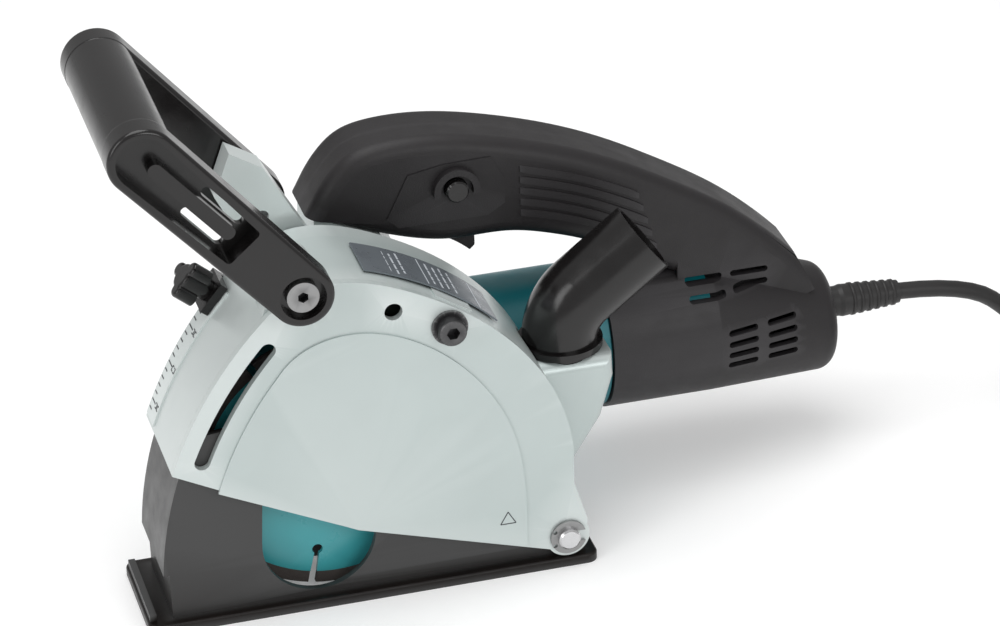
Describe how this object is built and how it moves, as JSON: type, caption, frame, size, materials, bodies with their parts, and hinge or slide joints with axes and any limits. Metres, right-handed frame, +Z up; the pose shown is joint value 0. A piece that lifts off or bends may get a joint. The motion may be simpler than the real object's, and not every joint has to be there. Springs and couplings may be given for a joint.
{
  "type": "wall chaser",
  "caption": "Twin-wheel wall chaser: plunging blade case on a hinged base shoe, side-mounted motor, rear handle, front grip and dust nozzle.",
  "frame": {"origin": "underside of the base shoe, below the hinge pin, at the middle of the blade case's width", "axes": "+X to the rear (cord side), +Y to the motor side, +Z up"},
  "size_m": [0.5851, 0.1401, 0.2517],
  "materials": {
    "case_paint": "satin silver-green paint on a die casting",
    "raw_aluminium": "as-cast and machined",
    "shoe_black": "semi-gloss black paint, worn at the edges",
    "bright_steel": "ground steel",
    "dark_steel": "black oxide",
    "bearing_steel": "hardened steel",
    "bronze": "sintered bronze and brass",
    "scale_plate": "silver plate with dark ticks",
    "label_plate": "printed foil, plain blocks",
    "disc_paint": "teal enamel",
    "diamond_rim": "sintered diamond segments",
    "teal_plastic": "moulded glass-filled nylon",
    "handle_plastic": "fine textured charcoal moulding",
    "black_plastic": "semi-gloss black moulding",
    "core_steel": "laminated electrical steel",
    "copper": "enamelled copper",
    "carbon": "pressed carbon",
    "cord_rubber": "rubber sheath"
  },
  "bodies": {
    "base": {"base_shoe": "shoe_black", "hinge_pin": "bright_steel", "pin_clips": "dark_steel", "return_spring": "dark_steel", "cord_coil": "cord_rubber", "mains_plug": "cord_rubber", "plug_pins": "bright_steel"},
    "tool": {"blade_case": "case_paint", "case_cover": "case_paint", "cover_bolt": "dark_steel", "depth_scale": "scale_plate", "rating_label": "label_plate", "gear_housing": "case_paint", "bearing_box": "raw_aluminium", "gearbox_screws": "dark_steel", "spindle_bearing": "bearing_steel", "rear_bush": "bronze", "motor_housing": "teal_plastic", "motor_bearings": "bearing_steel", "field_core": "core_steel", "field_coils": "copper", "brush_holders": "bronze", "carbon_brushes": "carbon", "brush_caps": "black_plastic", "handle_near_half": "handle_plastic", "handle_far_half": "handle_plastic", "handle_screws": "dark_steel", "trigger_pin": "dark_steel", "switch_unit": "black_plastic", "switch_panel": "handle_plastic", "grip_screws": "dark_steel", "cord_guard": "cord_rubber", "mains_cord": "cord_rubber"},
    "spindle": {"spindle": "bright_steel", "bevel_gear": "bearing_steel", "inner_flange": "dark_steel", "disc_spacers": "dark_steel", "lock_nut": "dark_steel", "near_disc_core": "disc_paint", "near_disc_rim": "diamond_rim", "far_disc_core": "disc_paint", "far_disc_rim": "diamond_rim"},
    "armature": {"armature_shaft": "bright_steel", "armature_core": "core_steel", "armature_windings": "copper", "commutator": "copper", "cooling_fan": "black_plastic", "pinion": "bearing_steel"},
    "trigger": {"trigger": "handle_plastic"},
    "lock_button": {"lock_button": "black_plastic"},
    "shaft_lock": {"shaft_lock": "black_plastic"},
    "front_grip": {"front_grip": "black_plastic", "stored_wrench": "black_plastic"},
    "dust_nozzle": {"dust_nozzle": "black_plastic"},
    "depth_stop": {"depth_stop": "black_plastic"},
    "depth_knob": {"depth_knob": "black_plastic"}
  },
  "joints": [
    {"name": "plunge", "type": "hinge", "parent": "base", "child": "tool", "pos_m": [0, 0, 0.015], "axis": [0, -1, 0], "range_deg": [0, 17.3], "stiffness_Nm_per_rad": 8, "springref_deg": -42.97},
    {"name": "spindle_spin", "type": "hinge", "parent": "tool", "child": "spindle", "pos_m": [-0.10158, 0, 0.06497], "axis": [0, 1, 0], "continuous": true},
    {"name": "armature_spin", "type": "hinge", "parent": "tool", "child": "armature", "pos_m": [0, 0.0615, 0.06497], "axis": [1, 0, 0], "continuous": true},
    {"name": "trigger_pull", "type": "hinge", "parent": "tool", "child": "trigger", "pos_m": [-0.056, 0.0615, 0.143], "axis": [0, -1, 0], "range_deg": [0, 7.5], "stiffness_Nm_per_rad": 0.6, "springref_deg": -17.19},
    {"name": "lock_button_push", "type": "slide", "parent": "tool", "child": "lock_button", "axis": [0, 1, 0], "range_m": [0, 0.003], "stiffness_N_per_m": 400, "springref_m": -0.003},
    {"name": "shaft_lock_push", "type": "slide", "parent": "tool", "child": "shaft_lock", "axis": [1, 0, 0], "range_m": [0, 0.0022], "stiffness_N_per_m": 500, "springref_m": -0.003},
    {"name": "grip_tilt", "type": "hinge", "parent": "tool", "child": "front_grip", "pos_m": [-0.1175, 0.01, 0.1635], "axis": [0, 1, 0], "range_deg": [-20, 30]},
    {"name": "nozzle_turn", "type": "hinge", "parent": "tool", "child": "dust_nozzle", "pos_m": [0.008, 0.008, 0.1], "axis": [0, 0, 1], "range_deg": [-105, 15]},
    {"name": "depth_stop_slide", "type": "hinge", "parent": "tool", "child": "depth_stop", "pos_m": [0, 0.022, 0.015], "axis": [0, -1, 0], "range_deg": [0, 17.3]},
    {"name": "depth_knob_turn", "type": "hinge", "parent": "depth_stop", "child": "depth_knob", "pos_m": [-0.14634, 0.022, 0.13867], "axis": [-0.7638, 0, 0.6455], "range_deg": [-360, 0]}
  ],
  "couplings": [
    {"joint": "armature_spin", "follows": "spindle_spin", "ratio": 3.5}
  ]
}
